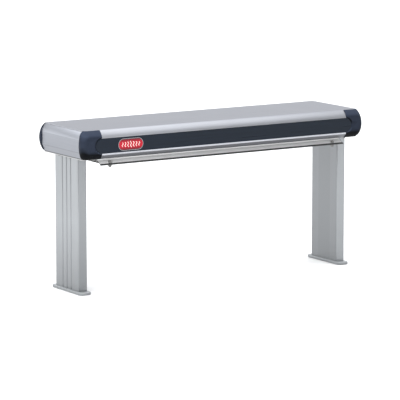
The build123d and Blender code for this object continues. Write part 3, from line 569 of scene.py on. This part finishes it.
def weld_beads():
    """Spot-weld beads where the guard's rods cross its bars and wires."""
    mesh = bmesh.new()
    bars_x = (-364.2, 364.2)
    wires_x = range(-300, 301, 120)
    rods_y = range(-60, 61, 40)
    bar_top, cross_bottom = 355.9, 358.9
    on_bar = [(2.9, 0.0), (2.6, 0.45), (1.9, 0.9), (1.2, 1.2), (0.0, 1.3)]
    on_wire = [(0.0, -0.9), (1.5, -0.6), (1.9, 0.0), (1.5, 0.6), (0.0, 0.9)]
    for y in rods_y:
        for x in bars_x:
            lathe(mesh, on_bar, Vector((x, y, bar_top)) * MM)
        for x in wires_x:
            lathe(mesh, on_wire, Vector((x, y, cross_bottom)) * MM, steps=12)
    piece("weld_beads", mesh, "guard_wire", "guard_wire")


def gland_details():
    """Grip ribs round the gland's dome nut and the rubber seal in its mouth."""
    low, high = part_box("cable_gland")
    centre = Vector(((low.x + high.x) / 2, (low.y + high.y) / 2, 0))
    ribs = bmesh.new()
    count = 20
    nut_radius, rib_width, rib_height = 9.9, 1.1, 0.55
    rib_path = [(0, 358.6), (0, 360), (0, 364), (0, 365.8)]
    for n in range(count):
        turn = 2 * math.pi * n / count

        def on_nut(u, v, w, turn=turn):
            out = nut_radius + w
            x = out * math.cos(turn) - u * math.sin(turn)
            y = out * math.sin(turn) + u * math.cos(turn)
            return centre + Vector((x, y, v)) * MM

        prism(ribs, ribbon(rib_path, rib_width), on_nut, rib_height)
    bmesh.ops.recalc_face_normals(ribs, faces=ribs.faces)
    piece("gland_ribs", ribs, "black_plastic", "black_plastic")
    seal = bmesh.new()
    mouth = centre + Vector((0, 0, low.z))
    lathe(seal, [(4.5, 4.0), (4.1, 3.4), (4.1, 1.2), (4.5, 0.5), (4.5, 4.0)], mouth, steps=32)
    piece("gland_seal", seal, "rubber", "rubber")


def hanger_rivets():
    """Rivet heads inside the reflector's crown, where the hat channels hold it."""
    mesh = bmesh.new()
    inside_crown = 436.8
    rivet_head = [(3.2, 0.0), (3.1, -0.5), (2.4, -1.1), (1.2, -1.5), (0.0, -1.6)]
    for x in (-250, 0, 250):
        for across in (-16, 16):
            lathe(mesh, rivet_head, Vector((x, across, inside_crown)) * MM)
    piece("hanger_rivets", mesh, "bright_aluminium", "bright_aluminium")


nameplate_motif()
rocker_marks()
weld_beads()
gland_details()
hanger_rivets()


# ---- studio -----------------------------------------------------------------------------
def studio_floor():
    """A wide pale floor."""
    half = 80.0
    corners = [(-half, -half, 0), (half, -half, 0), (half, half, 0), (-half, half, 0)]
    mesh = bpy.data.meshes.new("studio_floor")
    mesh.from_pydata(corners, [], [(0, 1, 2, 3)])
    floor = bpy.data.objects.new("studio_floor", mesh)
    bpy.context.scene.collection.objects.link(floor)
    s = Shader("studio_floor")
    speckle = s.noise(0.8, detail=2.0)
    s.colour(s.mix(s.band(speckle, 0.3, 0.7), (0.885, 0.885, 0.885), (0.895, 0.895, 0.895)))
    s.set(Roughness=0.95, Specular_IOR_Level=0.1)
    mesh.materials.append(s.material)


def area_light(name, place, aim, size, power):
    """A soft rectangular lamp at place, turned towards aim; it isn't seen in reflections."""
    data = bpy.data.lights.new(name, "AREA")
    data.shape = "RECTANGLE"
    data.size, data.size_y = size
    data.energy = power
    lamp = bpy.data.objects.new(name, data)
    lamp.location = place
    lamp.rotation_mode = "QUATERNION"
    lamp.rotation_quaternion = (Vector(aim) - Vector(place)).to_track_quat("-Z", "Y")
    lamp.visible_camera = False
    lamp.visible_glossy = False
    bpy.context.scene.collection.objects.link(lamp)


def overhead_sun(strength, spread, lean):
    """One very soft sun over the table, so that the whole floor is lit evenly."""
    data = bpy.data.lights.new("overhead", "SUN")
    data.energy = strength
    data.angle = math.radians(spread)
    lamp = bpy.data.objects.new("overhead", data)
    lamp.rotation_mode = "QUATERNION"
    lamp.rotation_quaternion = Vector(lean).to_track_quat("-Z", "Y")
    bpy.context.scene.collection.objects.link(lamp)


SKY_HORIZON = 1.03
SKY_SHADE = 0.45
SKY_ZENITH = 2.1
SKY_TINT = (0.972, 0.984, 1.0, 1.0)
DIM_SIDE = (0.50, -0.86, 0.0)
DIM_FROM, DIM_FULL = 0.10, 0.85
LIFT_FROM, LIFT_FULL = 0.36, 0.72


def studio_world():
    """A white tent: even at the horizon, brighter overhead, with one dim side to the front right."""
    world = bpy.data.worlds.new("studio")
    world.use_nodes = True
    tree = world.node_tree
    background = tree.nodes["Background"]
    background.inputs["Color"].default_value = SKY_TINT
    where = tree.nodes.new("ShaderNodeTexCoord")
    towards = tree.nodes.new("ShaderNodeVectorMath")
    towards.operation = "DOT_PRODUCT"
    towards.inputs[1].default_value = DIM_SIDE
    split = tree.nodes.new("ShaderNodeSeparateXYZ")
    side = tree.nodes.new("ShaderNodeMapRange")
    lift = tree.nodes.new("ShaderNodeMapRange")
    blend = tree.nodes.new("ShaderNodeMix")
    tree.links.new(where.outputs["Generated"], towards.inputs[0])
    tree.links.new(where.outputs["Generated"], split.inputs["Vector"])
    tree.links.new(towards.outputs["Value"], side.inputs["Value"])
    tree.links.new(split.outputs["Z"], lift.inputs["Value"])
    ramps = (
        (side, (DIM_FROM, DIM_FULL, SKY_HORIZON, SKY_SHADE)),
        (lift, (LIFT_FROM, LIFT_FULL, 0.0, 1.0)),
    )
    for node, values in ramps:
        node.interpolation_type = "SMOOTHSTEP"
        for key, value in zip(("From Min", "From Max", "To Min", "To Max"), values):
            node.inputs[key].default_value = value
    floats = [socket for socket in blend.inputs if socket.type == "VALUE"]
    tree.links.new(lift.outputs["Result"], floats[0])
    tree.links.new(side.outputs["Result"], floats[1])
    floats[2].default_value = SKY_ZENITH
    result = [socket for socket in blend.outputs if socket.type == "VALUE"][0]
    tree.links.new(result, background.inputs["Strength"])
    bpy.context.scene.world = world


CAMERA_PLACE = (-3.9953, -6.3007, 1.4218)
VIEW_BACK = (-0.52759, -0.83433, 0.15983)
LENS_MM = 243.1


def studio_camera():
    """A long lens from the front left, a little above the housing."""
    data = bpy.data.cameras.new("camera")
    data.lens = LENS_MM
    data.sensor_width = 36.0
    data.clip_start, data.clip_end = 0.1, 200.0
    camera = bpy.data.objects.new("camera", data)
    camera.location = CAMERA_PLACE
    camera.rotation_mode = "QUATERNION"
    camera.rotation_quaternion = (-Vector(VIEW_BACK)).to_track_quat("-Z", "Y")
    bpy.context.scene.collection.objects.link(camera)
    bpy.context.scene.camera = camera


studio_floor()
studio_world()
overhead_sun(strength=0.25, spread=50, lean=(0.10, 0.12, -1.0))
area_light("front_fill", place=(-2.1, -1.8, 0.55), aim=(-0.2, 0, 0.36), size=(1.2, 0.6), power=42)
studio_camera()
bpy.context.scene.view_settings.view_transform = "Standard"
